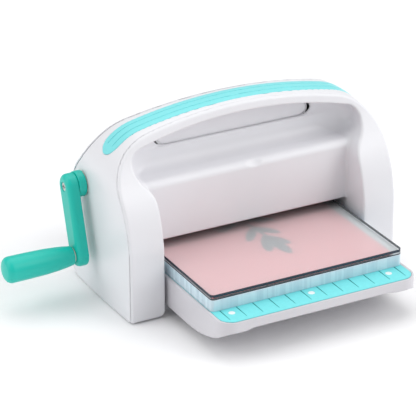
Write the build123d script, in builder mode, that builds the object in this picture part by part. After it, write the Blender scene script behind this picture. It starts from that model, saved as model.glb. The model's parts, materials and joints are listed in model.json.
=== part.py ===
"""Tabletop roller die cutting machine: arch casing, two rollers, geared crank and feed platform.

Frame: millimetres, +Z up, +X to the right, front of the machine towards -Y.
The origin lies on the table, under the middle of the casing.
"""

import os
from math import acos, asin, atan, atan2, cos, degrees, pi, radians, sin, sqrt, tan

from build123d import *

# ---------------------------------------------------------------- driving dimensions

# casing
CASE_LIFT = 0.4          # underside of the casing above the table
BAND_HALF_W = 106.9      # outer band, half width
BAND_TOP = 134.8
BAND_CORNER_R = 39.6
BAND_CROWN_R = 341.0
BAND_WALL = 2.6
RIM_STEP = 1.2           # the cover rims lie this far inside the band
COVER_WALL = 2.4
RIM_LIP = 2.8            # depth of the cover rim in front of the band
SEAM = 0.15              # half of the gap between the two covers
REAR_FOOT_R = 11.0       # rounding of the casing's lower rear corners

# side view of the casing: half depth against height
BASE_HALF_DEPTH = 50.0
SIDE_STRAIGHT_TOP = 50.0
SIDE_POINTS = [(45.2, 74.0), (31.2, 97.0), (20.2, 119.0)]
TOP_HALF_DEPTH = 14.8
SIDE_TOP_Z = 136.0
BAY_BELOW = 5.0          # outlines that cut the casing start this far below the table

# opening between the towers, as seen from the front
BAY_HALF_W = 79.6
BAY_FLARE_HALF_W = 90.4
FLARE_START_Z = 81.0
BAY_TOP = 127.2
BAY_CORNER_R = 10.5
BAY_CROWN_R = 330.0
POCKET_DEPTH_Y = 16.0    # the pocket keeps its full outline to this far from the centre plane

# opening behind the handle, on the centre plane
HOLE_HALF_W = 62.0
HOLE_FLARE = 1.0
HOLE_TOP = 121.5
HOLE_CORNER_R = 9.0
RIDGE_Z = 107.0
WEB_GRIP = 0.8           # the web behind the opening reaches this far into the walls round it

# roller housing between the towers
PANEL_Y = 25.8
PANEL_BOTTOM_Z = 47.0
LEDGE_Z = 92.0
LEDGE_EDGE_R = 5.5
COVE_R = 10.0
RIDGE_Y = 2.6
DIMPLE_X, DIMPLE_R, DIMPLE_DEPTH = 4.0, 5.0, 0.9

# handle inlay
INLAY_HALF_W = 8.8
INLAY_THICK = 1.5
INLAY_END_Z = 109.0
GROOVE_Y, GROOVE_W, GROOVE_DEPTH = 3.3, 1.0, 0.5
GROOVE_END = 5.0         # the grooves stop this far from the inlay's ends

# bottom of the machine
BASE_PLATE = (203.0, 80.0, 4.2)
BASE_PLATE_Z = 0.0
BED_PLATE = (200.0, 80.0, 2.6)
BED_PLATE_Z = 4.3
BED_TOP = BED_PLATE_Z + BED_PLATE[2]
FOOT_R = 6.5
FOOT_X, FOOT_Y = 92.0, 33.0
FOOT_RECESS = 1.6
BED_GAP = 0.4            # room round the bed plate
BASE_CORNER_R, BED_CORNER_R = 6.0, 4.0

# platform and the stack on it
TRAY_HALF_W = 77.4
TRAY_FRONT_Y, TRAY_BACK_Y = -129.4, 94.6
TRAY_UNDER_Z = 22.6
TRAY_TOP_Z = 29.0
TRAY_SKIRT_Z = 7.6
TRAY_SKIRT_W = 3.0
TRAY_CORNER_R, TRAY_EDGE_R = 12.0, 1.0
HEM_LENGTH, HEM_RISE = 49.4, 13.5    # the skirts' lower edge curves up towards both ends
MAT_THICK = 0.8
MAT_INSET, MAT_END_INSET = 2.6, 1.4
STACK_HALF_W = 75.0
STACK_FRONT_Y, STACK_LENGTH = -108.9, 200.0
STACK_CORNER_R = 3.0
STACK_TOP_Z = 42.7
SPACER_TOP_Z = 38.4
PAD_TOP_Z = 39.5
CARD_TOP_Z = 39.85
DIE_TOP_Z = 40.3
UPPER_PAD_Z = 40.35
LAYER_GAP = 0.05

# mat
MARK_R, MARK_DEPTH = 2.4, 0.3
MARK_X = (-63.0, -1.3, 60.4)
MARK_Y = 14.2            # distance of the marks from the tray's ends
TICK_PITCH, TICK_LENGTH, TICK_W, TICK_COUNT = 12.5, 14.6, 0.6, 12

# card under the upper pad
CARD = (142.0, 190.0)
CARD_SHIFT = (-2.6, -3.6)

# rollers
ROLL_GAP = 0.25
UPPER_R, UPPER_HALF_L = 12.5, 77.0
LOWER_R, LOWER_HALF_L = 7.0, 66.0
UPPER_Z = STACK_TOP_Z + ROLL_GAP + UPPER_R
LOWER_Z = TRAY_UNDER_Z - ROLL_GAP - LOWER_R
UPPER_JOURNAL_R = 5.0
LOWER_JOURNAL_R = 3.5
FIT = 0.05               # radial running clearance of journals

BLOCK_X, BLOCK_T, BLOCK_HALF_D, BLOCK_TOP_Z, BLOCK_EDGE_R = 67.5, 5.4, 9.0, 21.8, 4.0
STRIP_X0, STRIP_X1, STRIP_HALF_L, STRIP_T = 74.0, 79.3, 39.0, 0.35

# side frame
FRAME_X, FRAME_T = 84.5, 3.0
FRAME_HALF_D = 20.0
FRAME_TOP_Z = 86.0
FLANGE_OUT = 99.5
ROD_R = 3.0
ROD_PLACES = [(-12.0, 76.0), (4.0, 80.0)]
BUSH_WALL, BUSH_FLANGE, BUSH_FLANGE_T = 2.5, 2.0, 1.2
PRESS = 0.02             # radial play of pressed-in pieces
LOBE_WALL = 2.5          # plate left round the crank's bush

# screws
BASE_SCREW_X, BASE_SCREW_Y = 60.0, 30.0
FRAME_SCREW_X, FRAME_SCREW_Y = 94.0, 13.0
SCREW_R, SCREW_HEAD_R = 1.95, 3.5
SCREW_SEAT = 1.6         # depth of the seats for the base screws
SCREW_PLAY = 0.15        # radial play of screws in their holes
SLOT_W, SLOT_L = 0.9, 4.5
CROSS_W, CROSS_L = 0.8, 3.6
COVER_SCREWS = [(94.5, 22.0, 38.0), (96.5, 100.0, 20.0)]    # across, height, head seat
COVER_SCREW_R, COVER_HEAD_R, COVER_HEAD_T = 1.5, 2.9, 2.2
BOSS_R = 3.4

# crank drive
MODULE = 1.25
GEAR_TEETH, PINION_TEETH = 39, 14
PRESSURE_ANGLE = 25.0
BACKLASH = 0.12
CENTRE_EXTRA = 0.05
GEAR_X, GEAR_W = -97.5, 8.0
PINION_X, PINION_W = -98.0, 9.0
CRANK_Y = 22.2
CENTRE_DIST = MODULE * (GEAR_TEETH + PINION_TEETH) / 2 + CENTRE_EXTRA
CRANK_Z = UPPER_Z + sqrt(CENTRE_DIST ** 2 - CRANK_Y ** 2)
MESH_ANGLE = degrees(atan2(CRANK_Z - UPPER_Z, CRANK_Y))
CRANK_SHAFT_R = 4.0
CRANK_BUSH_R, OUTER_BUSH_L, OUTER_BUSH_FLANGE = 8.0, 6.0, 1.0
KEY_W, KEY_H, KEY_PLAY = 3.0, 3.0, 0.04
WEB_R0, WEB_R1, WEB_RECESS = 9.5, 20.0, 2.0        # recess in the gear's face
WINDOWS, WINDOW_R, WINDOW_AT_R = 5, 3.6, 14.8
RING_T, RING_WALL, RING_GAP_W = 1.0, 2.2, 3.2
SHAFT_END = 5.1          # how far the crank shaft reaches into the arm
FLAT_L, FLAT_DEPTH = 7.0, 0.8

# crank outside the casing
HUB_R = 9.4
HUB_X0, ARM_X0, ARM_X1 = -107.4, -113.3, -122.0
ARM_LENGTH, ARM_HALF_W = 49.0, 8.8
ARM_TILT = 16.0          # lean of the hanging arm towards the front
ARM_EDGE_R, ARM_BACK_EDGE_R = 2.6, 1.2
ARM_SCREW_R, ARM_HEAD_R, ARM_SCREW_SEAT = 1.5, 3.0, 1.8
GRIP_X0, GRIP_X1 = -123.0, -175.0
GRIP_R0, GRIP_R1, GRIP_CHAMFER = 6.75, 9.5, 0.9
GRIP_SWELL = [(-135.0, 8.4), (-150.0, 9.25)]   # radius along the grip
GRIP_END_R = 3.4         # edge radius of the grip's outer end
GRIP_DOME, GRIP_FLAT_R = 1.3, 1.2    # doming of its end face round a small flat
SPINDLE_END_X = -165.5
SPINDLE_R, SPINDLE_HEAD_R, SPINDLE_HEAD_T = 3.0, 4.4, 3.4
WASHER_R = 5.2
GRIP_Y = CRANK_Y - ARM_LENGTH * sin(radians(ARM_TILT))
GRIP_Z = CRANK_Z - ARM_LENGTH * cos(radians(ARM_TILT))

FAR = 200.0              # reach of cutting prisms
ALONG_X = Plane.YZ       # sketch plane whose normal is +X


def write(piece, name):
    """Label a finished piece and write its STEP file."""
    piece.part.label = name
    export_step(piece.part, f"parts/{name}.step")


def both_sides(places):
    """Places and their mirror images on the other side of the machine."""
    return [(side * across, up) for across, up in places for side in (-1, 1)]


# ---------------------------------------------------------------- outlines


def arch_outline(inset, plane, half_w=BAND_HALF_W, top=BAND_TOP, corner_r=BAND_CORNER_R,
                 crown_r=BAND_CROWN_R, foot=CASE_LIFT):
    """Arch of two side lines, two shoulder arcs and a flat crown arc, drawn inset from its size."""
    half_w, top, corner_r, crown_r = half_w - inset, top - inset, corner_r - inset, crown_r - inset
    corner_x = half_w - corner_r
    lean = asin(corner_x / (crown_r - corner_r))
    corner_z = top - crown_r + (crown_r - corner_r) * cos(lean)
    with BuildSketch(plane) as outline:
        with BuildLine():
            Line((0, foot), (half_w, foot))
            Line((half_w, foot), (half_w, corner_z))
            CenterArc((corner_x, corner_z), corner_r, 0, 90 - degrees(lean))
            CenterArc((0, top - crown_r), crown_r, 90 - degrees(lean), degrees(lean))
            mirror(about=Plane.YZ)
        make_face()
    return outline.sketch


def bay_outline(plane, foot_w, flare_w, top, corner_r, crown_r):
    """Opening between the towers: straight sides that flare in an S below rounded top corners."""
    foot = -BAY_BELOW
    corner_x = flare_w - corner_r
    lean = asin(corner_x / (crown_r - corner_r))
    corner_z = top - crown_r + (crown_r - corner_r) * cos(lean)
    bend = 2 * atan((flare_w - foot_w) / (corner_z - FLARE_START_Z))
    bend_r = (corner_z - FLARE_START_Z) / (2 * sin(bend))
    with BuildSketch(plane) as outline:
        with BuildLine():
            Line((0, foot), (foot_w, foot))
            Line((foot_w, foot), (foot_w, FLARE_START_Z))
            CenterArc((foot_w + bend_r, FLARE_START_Z), bend_r, 180, -degrees(bend))
            CenterArc((flare_w - bend_r, corner_z), bend_r, -degrees(bend), degrees(bend))
            CenterArc((corner_x, corner_z), corner_r, 0, 90 - degrees(lean))
            CenterArc((0, top - crown_r), crown_r, 90 - degrees(lean), degrees(lean))
            mirror(about=Plane.YZ)
        make_face()
    return outline.sketch


def side_outline(inset, foot_r=0.0):
    """Side view of the casing, drawn inset from its faces; foot_r rounds its lower corners."""
    half_depth = BASE_HALF_DEPTH - inset
    foot_y = half_depth if foot_r == 0 else BASE_HALF_DEPTH - foot_r
    straight_from = -BAY_BELOW if foot_r == 0 else CASE_LIFT + foot_r
    curve = [(half_depth, SIDE_STRAIGHT_TOP)]
    curve += [(y - inset, z) for y, z in SIDE_POINTS]
    curve += [(TOP_HALF_DEPTH - inset, SIDE_TOP_Z)]
    with BuildSketch(ALONG_X) as outline:
        with BuildLine():
            Line((0, -BAY_BELOW), (foot_y, -BAY_BELOW))
            if foot_r > 0:
                Line((foot_y, -BAY_BELOW), (foot_y, CASE_LIFT + inset))
                CenterArc((foot_y, straight_from), foot_r - inset, -90, 90)
            Line((half_depth, straight_from), (half_depth, SIDE_STRAIGHT_TOP))
            Spline(curve, tangents=[(0, 1), (-0.28, 1)])
            Line((TOP_HALF_DEPTH - inset, SIDE_TOP_Z), (0, SIDE_TOP_Z))
            mirror(about=Plane.YZ)
        make_face()
    return outline.sketch


def housing_outline(inset):
    """Side view of the front half of the roller housing, up to the ridge under the handle."""
    panel_y = -PANEL_Y + inset
    ledge_z = LEDGE_Z - inset
    edge_r = LEDGE_EDGE_R - inset
    cove_r = COVE_R + inset
    ridge_y = -RIDGE_Y + inset
    ridge_z = RIDGE_Z - inset
    with BuildSketch(ALONG_X) as outline:
        with BuildLine():
            Line((panel_y, PANEL_BOTTOM_Z), (panel_y, ledge_z - edge_r))
            CenterArc((panel_y + edge_r, ledge_z - edge_r), edge_r, 180, -90)
            Line((panel_y + edge_r, ledge_z), (ridge_y - cove_r, ledge_z))
            CenterArc((ridge_y - cove_r, ledge_z + cove_r), cove_r, -90, 90)
            Polyline((ridge_y, ledge_z + cove_r), (ridge_y, ridge_z), (1, ridge_z),
                     (1, PANEL_BOTTOM_Z), (panel_y, PANEL_BOTTOM_Z))
        make_face()
    return outline.sketch


def hole_sizes(grow):
    """Sizes of the opening on the centre plane, drawn larger by this much."""
    return (HOLE_HALF_W - HOLE_FLARE + grow, HOLE_HALF_W + grow, HOLE_TOP + grow, HOLE_CORNER_R + grow,
            BAY_CROWN_R + grow)


def front_recess(grow):
    """Everything that is open in the front half: bay, hand pocket and feed tunnel."""
    full = (BAY_HALF_W + grow, BAY_FLARE_HALF_W + grow, BAY_TOP + grow, BAY_CORNER_R + grow,
            BAY_CROWN_R + grow)
    with BuildPart() as recess:
        extrude(bay_outline(Plane.XZ.offset(POCKET_DEPTH_Y), *full), amount=FAR)
        loft([bay_outline(Plane.XZ.offset(POCKET_DEPTH_Y), *full), bay_outline(Plane.XZ, *hole_sizes(grow))])
        with Locations((0, -POCKET_DEPTH_Y, PANEL_BOTTOM_Z / 2 - BAY_BELOW)):
            Box(2 * (BAY_HALF_W + grow), 2 * POCKET_DEPTH_Y, PANEL_BOTTOM_Z + 2 * BAY_BELOW)
        extrude(housing_outline(grow), amount=FAR, both=True, mode=Mode.SUBTRACT)
    return recess.part


# ---------------------------------------------------------------- casing

os.makedirs("parts", exist_ok=True)

recess_cut = front_recess(0)
recess_skin = front_recess(COVER_WALL)


def cover_shell(foot_r):
    """One cover, drawn in front of the centre plane: its face and the walls of its recess."""
    with BuildPart() as cavity:
        extrude(side_outline(COVER_WALL, foot_r), amount=FAR, both=True)
        add(recess_skin, mode=Mode.SUBTRACT)
    with BuildPart() as shell:
        extrude(arch_outline(RIM_STEP, Plane.XZ.offset(SEAM)), amount=BASE_HALF_DEPTH)
        extrude(side_outline(0, foot_r), amount=FAR, both=True, mode=Mode.INTERSECT)
        add(recess_cut, mode=Mode.SUBTRACT)
        add(cavity.part, mode=Mode.SUBTRACT)
        # room for the bed plate under the tower walls
        Box(BED_PLATE[0] + 2 * BED_GAP, BED_PLATE[1] + 2 * BED_GAP, 2 * (BED_TOP + BED_GAP),
            mode=Mode.SUBTRACT)
    return shell.part


def screw_bosses(bore_r):
    """Four round bosses from the middle of the cover's face back to the seam, bored along their axes."""
    with BuildPart() as bosses:
        with BuildSketch(Plane.XZ.offset(SEAM)):
            with Locations(*both_sides([(x, z) for x, z, _ in COVER_SCREWS])):
                Circle(BOSS_R)
                Circle(bore_r, mode=Mode.SUBTRACT)
        extrude(amount=BASE_HALF_DEPTH)
        extrude(side_outline(COVER_WALL / 2), amount=FAR, both=True, mode=Mode.INTERSECT)
    return bosses.part


# ball whose edge leaves a dimple of the stated size on the ledge's rounding
dimple_ball_r = (DIMPLE_R ** 2 + DIMPLE_DEPTH ** 2) / (2 * DIMPLE_DEPTH)
dimple_reach = (LEDGE_EDGE_R + dimple_ball_r - DIMPLE_DEPTH) * sqrt(0.5)
dimple_y = -PANEL_Y + LEDGE_EDGE_R - dimple_reach
dimple_z = LEDGE_Z - LEDGE_EDGE_R + dimple_reach

with BuildPart() as front_cover:
    add(cover_shell(0))
    add(screw_bosses(COVER_SCREW_R))
    with Locations((DIMPLE_X, dimple_y, dimple_z)):
        Sphere(dimple_ball_r, mode=Mode.SUBTRACT)
write(front_cover, "front_cover")

# web that closes the opening behind the handle
with BuildPart() as hole_web:
    extrude(bay_outline(Plane.XZ.offset(-SEAM), *hole_sizes(COVER_WALL + WEB_GRIP)), amount=-COVER_WALL)
    with Locations((0, 0, RIDGE_Z - WEB_GRIP - FAR)):
        Box(2 * FAR, FAR, 2 * FAR, mode=Mode.SUBTRACT)

with BuildPart() as rear_cover:
    add(mirror(cover_shell(REAR_FOOT_R), about=Plane.XZ))
    add(hole_web.part)
    add(mirror(screw_bosses(COVER_SCREW_R + SCREW_PLAY), about=Plane.XZ))
    # sunk seats for the screw heads, open to the rear
    for x, z, seat in COVER_SCREWS:
        with BuildSketch(Plane.XZ.offset(-seat)):
            with Locations(*both_sides([(x, z)])):
                Circle(COVER_HEAD_R + SCREW_PLAY)
        extrude(amount=-FAR, mode=Mode.SUBTRACT)
write(rear_cover, "rear_cover")


def inlay_outline(inset):
    """Side view of the inlay: a strip over the crown with a half-round lower end."""
    half_w = INLAY_HALF_W - inset
    end_z = INLAY_END_Z + INLAY_HALF_W
    with BuildSketch(ALONG_X) as strip:
        with BuildLine():
            Line((half_w, SIDE_TOP_Z), (half_w, end_z))
            CenterArc((0, end_z), half_w, 0, -180)
            Line((-half_w, end_z), (-half_w, SIDE_TOP_Z))
            Line((-half_w, SIDE_TOP_Z), (half_w, SIDE_TOP_Z))
        make_face()
    return strip.sketch


def crown_strip(plane, reach, both, outer, depth):
    """A strip over the casing's crown, from a little outside its surface down to this depth."""
    with BuildPart() as strip:
        extrude(arch_outline(-outer, plane), amount=reach, both=both)
        extrude(arch_outline(depth, plane), amount=FAR, both=True, mode=Mode.SUBTRACT)
    return strip.part


with BuildPart() as inlay_channel:
    add(crown_strip(Plane.XZ, 2 * INLAY_HALF_W, True, 1, INLAY_THICK))
    extrude(inlay_outline(0), amount=FAR, both=True, mode=Mode.INTERSECT)

# what the rear cover's rounding takes off the band's lower rear corner
with BuildPart() as rear_foot_cut:
    with BuildSketch(ALONG_X):
        with Locations((BASE_HALF_DEPTH, CASE_LIFT)):
            Rectangle(2 * REAR_FOOT_R, 2 * REAR_FOOT_R)
        with Locations((BASE_HALF_DEPTH - REAR_FOOT_R, CASE_LIFT + REAR_FOOT_R)):
            Circle(REAR_FOOT_R - RIM_LIP, mode=Mode.SUBTRACT)
    extrude(amount=FAR, both=True)

with BuildPart() as centre_band:
    extrude(arch_outline(0, Plane.XZ), amount=BASE_HALF_DEPTH, both=True)
    extrude(arch_outline(BAND_WALL, Plane.XZ, foot=-BAY_BELOW), amount=FAR, both=True, mode=Mode.SUBTRACT)
    extrude(side_outline(RIM_LIP), amount=FAR, both=True, mode=Mode.INTERSECT)
    add(rear_foot_cut.part, mode=Mode.SUBTRACT)
    # opening for the crank bush on the left side
    with Locations(Location((-BAND_HALF_W, CRANK_Y, CRANK_Z), (0, 90, 0))):
        Cylinder(CRANK_BUSH_R, 4 * BAND_WALL, mode=Mode.SUBTRACT)
    add(inlay_channel.part, mode=Mode.SUBTRACT)
write(centre_band, "centre_band")

# two grooves along the inlay, which stop short of its ends
with BuildPart() as inlay_grooves:
    for groove_y in (-GROOVE_Y, GROOVE_Y):
        add(crown_strip(Plane.XZ.offset(groove_y - GROOVE_W / 2), GROOVE_W, False, 1, GROOVE_DEPTH))
    with Locations((0, 0, (INLAY_END_Z + GROOVE_END) / 2)):
        Box(2 * FAR, FAR, INLAY_END_Z + GROOVE_END, mode=Mode.SUBTRACT)

with BuildPart() as handle_inlay:
    add(crown_strip(Plane.XZ, 2 * INLAY_HALF_W, True, 0, INLAY_THICK - FIT))
    extrude(inlay_outline(FIT), amount=FAR, both=True, mode=Mode.INTERSECT)
    add(inlay_grooves.part, mode=Mode.SUBTRACT)
write(handle_inlay, "handle_inlay")

corner_feet = [(x, y) for x in (-FOOT_X, FOOT_X) for y in (-FOOT_Y, FOOT_Y)]
corner_screws = [(x, y) for x in (-BASE_SCREW_X, BASE_SCREW_X) for y in (-BASE_SCREW_Y, BASE_SCREW_Y)]
frame_screw_places = [
    (x, y) for x in (-FRAME_SCREW_X, FRAME_SCREW_X) for y in (-FRAME_SCREW_Y, FRAME_SCREW_Y)
]

with BuildPart() as base_plate:
    with BuildSketch(Plane.XY.offset(BASE_PLATE_Z)):
        RectangleRounded(BASE_PLATE[0], BASE_PLATE[1], BASE_CORNER_R)
    extrude(amount=BASE_PLATE[2])
    with BuildSketch(Plane.XY.offset(BASE_PLATE_Z)):
        with Locations(*corner_feet):
            Circle(FOOT_R + 2 * FIT)
    extrude(amount=FOOT_RECESS, mode=Mode.SUBTRACT)
    with BuildSketch(Plane.XY.offset(BASE_PLATE_Z)):
        with Locations(*corner_screws):
            Circle(SCREW_HEAD_R + SCREW_PLAY)
    extrude(amount=SCREW_SEAT, mode=Mode.SUBTRACT)
    with BuildSketch(Plane.XY):
        with Locations(*corner_screws):
            Circle(SCREW_R + SCREW_PLAY)
    extrude(amount=FAR, mode=Mode.SUBTRACT)
write(base_plate, "base_plate")

with BuildPart() as rubber_feet:
    with BuildSketch(Plane.XY):
        with Locations(*corner_feet):
            Circle(FOOT_R)
    extrude(amount=BASE_PLATE_Z + FOOT_RECESS - FIT)
    chamfer(rubber_feet.edges().group_by(Axis.Z)[-1], 0.3)
write(rubber_feet, "rubber_feet")

with BuildPart() as base_screws:
    with BuildSketch(Plane.XY.offset(BASE_PLATE_Z + 0.3)):
        with Locations(*corner_screws):
            Circle(SCREW_HEAD_R)
            Rectangle(SLOT_L, SLOT_W, mode=Mode.SUBTRACT)
    extrude(amount=SCREW_SEAT - 0.3)
    with BuildSketch(Plane.XY.offset(BASE_PLATE_Z + 1.0)):
        with Locations(*corner_screws):
            Circle(SCREW_R)
    extrude(amount=BED_TOP - BASE_PLATE_Z - 1.1)
write(base_screws, "base_screws")

with BuildPart() as bed_plate:
    with BuildSketch(Plane.XY.offset(BED_PLATE_Z)):
        RectangleRounded(BED_PLATE[0], BED_PLATE[1], BED_CORNER_R)
        with Locations(*corner_screws, *frame_screw_places):
            Circle(SCREW_R, mode=Mode.SUBTRACT)
    extrude(amount=BED_PLATE[2])
write(bed_plate, "bed_plate")


def side_plate(side, with_crank_lobe):
    """Steel side plate with an outward foot; the left one also carries the crank's inner bush."""
    inner = side * FRAME_X
    with BuildPart() as plate:
        with BuildSketch(ALONG_X.offset(inner)):
            with Locations((0, FRAME_TOP_Z - FRAME_HALF_D)):
                Circle(FRAME_HALF_D)
            if with_crank_lobe:
                with Locations((CRANK_Y, CRANK_Z)):
                    Circle(CRANK_SHAFT_R + BUSH_WALL + LOBE_WALL)
            make_hull()
            with Locations((0, (FRAME_TOP_Z - FRAME_HALF_D + BED_TOP) / 2)):
                Rectangle(2 * FRAME_HALF_D, FRAME_TOP_Z - FRAME_HALF_D - BED_TOP)
            with Locations((0, UPPER_Z)):
                Circle(UPPER_JOURNAL_R + BUSH_WALL + PRESS, mode=Mode.SUBTRACT)
            with Locations(*ROD_PLACES):
                Circle(SCREW_R + SCREW_PLAY, mode=Mode.SUBTRACT)
            if with_crank_lobe:
                with Locations((CRANK_Y, CRANK_Z)):
                    Circle(CRANK_SHAFT_R + BUSH_WALL + PRESS, mode=Mode.SUBTRACT)
        extrude(amount=side * FRAME_T)
        with BuildSketch(Plane.XY.offset(BED_TOP)):
            with Locations((side * (FRAME_X + FLANGE_OUT) / 2, 0)):
                Rectangle(FLANGE_OUT - FRAME_X, 2 * FRAME_HALF_D)
            with Locations((side * FRAME_SCREW_X, FRAME_SCREW_Y), (side * FRAME_SCREW_X, -FRAME_SCREW_Y)):
                Circle(SCREW_R, mode=Mode.SUBTRACT)
        extrude(amount=FRAME_T)
    return plate


write(side_plate(-1, True), "side_plate_left")
write(side_plate(1, False), "side_plate_right")

with BuildPart() as frame_screws:
    with BuildSketch(Plane.XY.offset(BED_TOP + FRAME_T)):
        with Locations(*frame_screw_places):
            Circle(SCREW_HEAD_R)
            RegularPolygon(1.7, 6, mode=Mode.SUBTRACT)
    extrude(amount=2.4)
    with BuildSketch(Plane.XY.offset(BED_PLATE_Z + 0.1)):
        with Locations(*frame_screw_places):
            Circle(SCREW_R)
    extrude(amount=BED_TOP + FRAME_T - BED_PLATE_Z)
write(frame_screws, "frame_screws")

with BuildPart() as tie_rods:
    with BuildSketch(ALONG_X):
        with Locations(*ROD_PLACES):
            Circle(ROD_R)
    extrude(amount=FRAME_X, both=True)
write(tie_rods, "tie_rods")

with BuildPart() as rod_screws:
    for side in (-1, 1):
        with BuildSketch(ALONG_X.offset(side * (FRAME_X + FRAME_T))):
            with Locations(*ROD_PLACES):
                Circle(SCREW_HEAD_R)
                Rectangle(SLOT_L, SLOT_W, mode=Mode.SUBTRACT)
        extrude(amount=side * 1.6)
        with BuildSketch(ALONG_X.offset(side * FRAME_X)):
            with Locations(*ROD_PLACES):
                Circle(SCREW_R)
        extrude(amount=side * (FRAME_T + 0.2))
write(rod_screws, "rod_screws")


def flanged_bush(side, y, z, bore_r):
    """Flanged plain bush standing in a side plate, its flange outside the plate."""
    with BuildPart() as bush:
        with BuildSketch(ALONG_X.offset(side * FRAME_X)):
            with Locations((y, z)):
                Circle(bore_r + BUSH_WALL)
        extrude(amount=side * FRAME_T)
        with BuildSketch(ALONG_X.offset(side * (FRAME_X + FRAME_T))):
            with Locations((y, z)):
                Circle(bore_r + BUSH_WALL + BUSH_FLANGE)
        extrude(amount=side * BUSH_FLANGE_T)
        with BuildSketch(ALONG_X):
            with Locations((y, z)):
                Circle(bore_r + FIT)
        extrude(amount=side * FAR, mode=Mode.SUBTRACT)
    return bush


write(flanged_bush(-1, 0, UPPER_Z, UPPER_JOURNAL_R), "roller_bush_left")
write(flanged_bush(1, 0, UPPER_Z, UPPER_JOURNAL_R), "roller_bush_right")
write(flanged_bush(-1, CRANK_Y, CRANK_Z, CRANK_SHAFT_R), "crank_inner_bush")

with BuildPart() as crank_outer_bush:
    with BuildSketch(ALONG_X.offset(-BAND_HALF_W)):
        with Locations((CRANK_Y, CRANK_Z)):
            Circle(CRANK_BUSH_R - PRESS)
    extrude(amount=OUTER_BUSH_L)
    with BuildSketch(ALONG_X.offset(-BAND_HALF_W + BAND_WALL + 2 * FIT)):
        with Locations((CRANK_Y, CRANK_Z)):
            Circle(CRANK_BUSH_R + OUTER_BUSH_FLANGE)
    extrude(amount=BUSH_FLANGE_T)
    with BuildSketch(ALONG_X):
        with Locations((CRANK_Y, CRANK_Z)):
            Circle(CRANK_SHAFT_R + FIT)
    extrude(amount=-FAR, mode=Mode.SUBTRACT)
write(crank_outer_bush, "crank_outer_bush")

with BuildPart() as cover_screws:
    for x, z, seat in COVER_SCREWS:
        with BuildSketch(Plane.XZ.offset(-seat)):
            with Locations(*both_sides([(x, z)])):
                Circle(COVER_HEAD_R)
                Rectangle(CROSS_L, CROSS_W, mode=Mode.SUBTRACT)
                Rectangle(CROSS_W, CROSS_L, mode=Mode.SUBTRACT)
        extrude(amount=-COVER_HEAD_T)
        with BuildSketch(Plane.XZ.offset(-seat)):
            with Locations(*both_sides([(x, z)])):
                Circle(COVER_SCREW_R - FIT)
        extrude(amount=1.6 * seat)
write(cover_screws, "cover_screws")

with BuildPart() as slide_strips:
    with BuildSketch(Plane.XY.offset(BED_TOP)):
        strip_mid = (STRIP_X0 + STRIP_X1) / 2
        with Locations((-strip_mid, 0), (strip_mid, 0)):
            RectangleRounded(STRIP_X1 - STRIP_X0, 2 * STRIP_HALF_L, 1.5)
    extrude(amount=STRIP_T)
write(slide_strips, "slide_strips")

with BuildPart() as bearing_blocks:
    with BuildSketch(Plane.XY.offset(BED_TOP)):
        block_mid = BLOCK_X + BLOCK_T / 2
        with Locations((-block_mid, 0), (block_mid, 0)):
            Rectangle(BLOCK_T, 2 * BLOCK_HALF_D)
    extrude(amount=BLOCK_TOP_Z - BED_TOP)
    fillet(bearing_blocks.faces().group_by(Axis.Z)[-1].edges().filter_by(Axis.X), BLOCK_EDGE_R)
    with BuildSketch(ALONG_X):
        with Locations((0, LOWER_Z)):
            Circle(LOWER_JOURNAL_R + FIT)
    extrude(amount=FAR, both=True, mode=Mode.SUBTRACT)
write(bearing_blocks, "bearing_blocks")

# ---------------------------------------------------------------- rollers and gears


def spur_gear(teeth, tooth_angle, x_start, width, bore_r, centre_y, centre_z):
    """Involute spur gear about an X axis, one tooth centred on tooth_angle (degrees from +Y)."""
    pressure = radians(PRESSURE_ANGLE)
    pitch_r = MODULE * teeth / 2
    base_r = pitch_r * cos(pressure)
    tip_r = pitch_r + 0.95 * MODULE
    root_r = pitch_r - 1.25 * MODULE
    half_pitch_angle = pi / (2 * teeth) - BACKLASH / (2 * pitch_r)
    at_pitch = tan(pressure) - pressure

    def flank_angle(radius):
        """Angle from the tooth's middle to its flank at this radius."""
        roll = acos(min(1.0, base_r / radius))
        return half_pitch_angle + at_pitch - (tan(roll) - roll)

    start_r = max(base_r, root_r)
    steps = 5
    radii = [start_r + (tip_r - start_r) * i / steps for i in range(steps + 1)]
    flank = [(root_r, flank_angle(start_r))] if root_r < start_r else []
    flank += [(r, flank_angle(r)) for r in radii]
    points = []
    for tooth in range(teeth):
        middle = radians(tooth_angle) + 2 * pi * tooth / teeth
        rising = [(r, middle - a) for r, a in flank]
        falling = [(r, middle + a) for r, a in reversed(flank)]
        points += [(r * cos(a), r * sin(a)) for r, a in rising + falling]
    with BuildPart() as gear:
        with BuildSketch(Plane(origin=(x_start, centre_y, centre_z), x_dir=(0, 1, 0), z_dir=(1, 0, 0))):
            with BuildLine():
                Polyline(*points, close=True)
            make_face()
            Circle(bore_r, mode=Mode.SUBTRACT)
        extrude(amount=width)
    return gear.part


with BuildPart() as upper_roller:
    with BuildSketch(ALONG_X.offset(-UPPER_HALF_L)):
        with Locations((0, UPPER_Z)):
            Circle(UPPER_R)
    extrude(amount=2 * UPPER_HALF_L)
    chamfer(upper_roller.edges().filter_by(GeomType.CIRCLE), 0.6)
    with BuildSketch(ALONG_X.offset(GEAR_X - 1.6)):
        with Locations((0, UPPER_Z)):
            Circle(UPPER_JOURNAL_R)
    extrude(amount=FRAME_X + FRAME_T + 2.6 - GEAR_X + 1.6)
    with Locations((GEAR_X + GEAR_W / 2, 0, UPPER_Z + UPPER_JOURNAL_R)):
        Box(GEAR_W, KEY_W, KEY_H, mode=Mode.SUBTRACT)
write(upper_roller, "upper_roller")

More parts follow.
